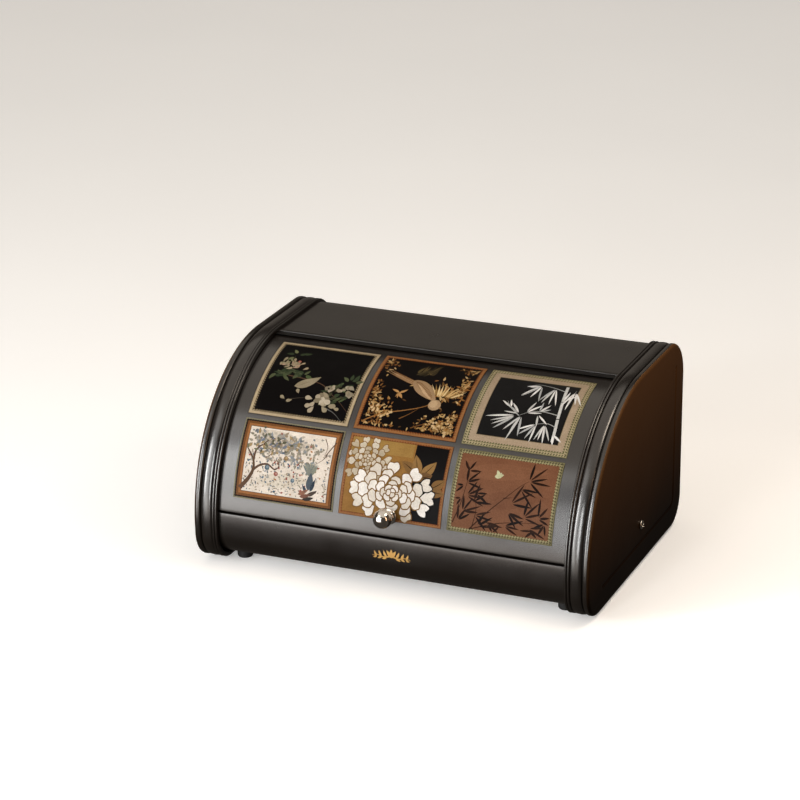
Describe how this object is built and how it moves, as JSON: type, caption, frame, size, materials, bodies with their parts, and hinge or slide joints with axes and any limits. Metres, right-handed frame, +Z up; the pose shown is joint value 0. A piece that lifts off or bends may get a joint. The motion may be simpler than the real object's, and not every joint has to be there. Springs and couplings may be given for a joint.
{
  "type": "bread box with roll top",
  "caption": "Metal bread box with a curved lid that turns on two side screws and slides back under the roof, with a round knob and decorative printed panels.",
  "frame": {"origin": "bottom centre of the whole box, on the surface that the feet stand on", "axes": "+X to the viewer's right along the width, +Y to the back, +Z up; the lid and knob face -Y"},
  "size_m": [0.408, 0.299, 0.1986],
  "materials": {
    "paint": "satin dark charcoal brown enamel",
    "chrome": "polished",
    "zinc": "bright zinc plate",
    "nylon": "moulded",
    "rubber": "matt black",
    "film_top_left": "glossy printed film, black ground",
    "film_top_middle": "glossy printed film, black ground with amber",
    "film_top_right": "glossy printed film, beige border on black",
    "film_bottom_left": "glossy printed film, ivory ground",
    "film_bottom_middle": "glossy printed film, gold ground",
    "film_bottom_right": "glossy printed film, terracotta ground"
  },
  "bodies": {
    "box": {"end_cap_left": "paint", "end_cap_right": "paint", "roof_back_panel": "paint", "base_pan": "paint", "pivot_screw_left": "zinc", "pivot_bush_left": "nylon", "pivot_washer_left": "zinc", "pivot_nut_left": "zinc", "lid_bumper_left": "rubber", "pivot_screw_right": "zinc", "pivot_bush_right": "nylon", "pivot_washer_right": "zinc", "pivot_nut_right": "zinc", "lid_bumper_right": "rubber", "foot_front_left": "rubber", "foot_screw_front_left": "zinc", "foot_front_right": "rubber", "foot_screw_front_right": "zinc", "foot_back_left": "rubber", "foot_screw_back_left": "zinc", "foot_back_right": "rubber", "foot_screw_back_right": "zinc"},
    "lid": {"lid_panel": "paint", "lid_side_plate_left": "paint", "lid_side_plate_right": "paint", "knob_ball": "chrome", "knob_base": "chrome", "knob_washer": "zinc", "knob_screw": "zinc", "art_panel_top_left": "film_top_left", "art_panel_top_middle": "film_top_middle", "art_panel_top_right": "film_top_right", "art_panel_bottom_left": "film_bottom_left", "art_panel_bottom_middle": "film_bottom_middle", "art_panel_bottom_right": "film_bottom_right"}
  },
  "joints": [
    {"name": "lid_hinge", "type": "hinge", "parent": "box", "child": "lid", "pos_m": [0, 0.0206, 0.0455], "axis": [-1, 0, 0], "range_deg": [0, 52]}
  ]
}
